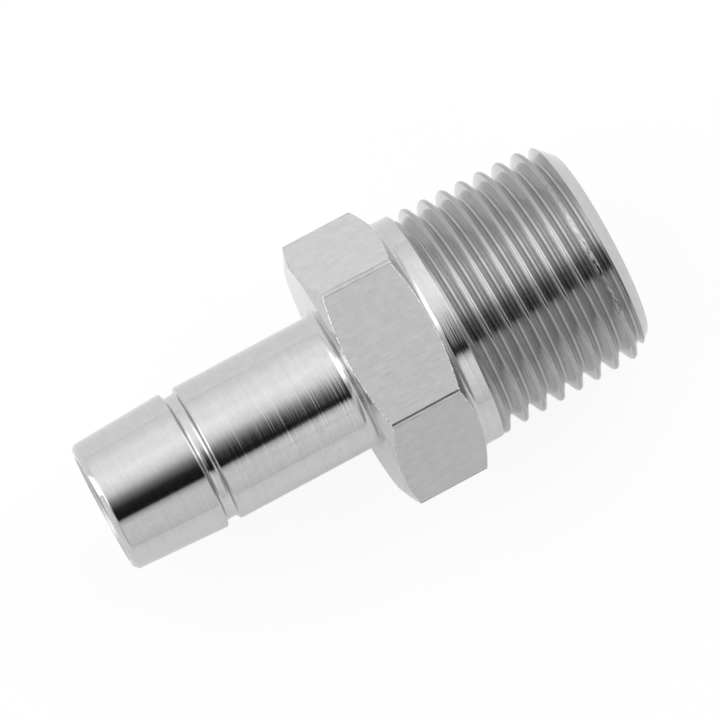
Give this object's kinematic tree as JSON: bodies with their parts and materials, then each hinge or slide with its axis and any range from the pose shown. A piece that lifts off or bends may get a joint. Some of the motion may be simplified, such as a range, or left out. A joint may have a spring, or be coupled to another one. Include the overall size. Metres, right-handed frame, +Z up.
{
  "type": "male adapter",
  "caption": "Straight male adapter: grooved tube stub for a compression fitting, spanner hexagon and tapered male pipe thread.",
  "frame": {"origin": "on the surface that the lower flat of the hexagon rests on, under the middle of the fitting's length and under its axis", "axes": "+X along the fitting's axis from the tube stub towards the male thread, +Z up out of the hexagon's upper flat, +Y across the fitting"},
  "size_m": [0.0488, 0.0252, 0.022],
  "materials": {
    "stainless_steel": "turned and brushed stainless steel, fine circumferential tool lines, brushed flats"
  },
  "bodies": {
    "root": {"adapter_body": "stainless_steel"}
  },
  "joints": []
}
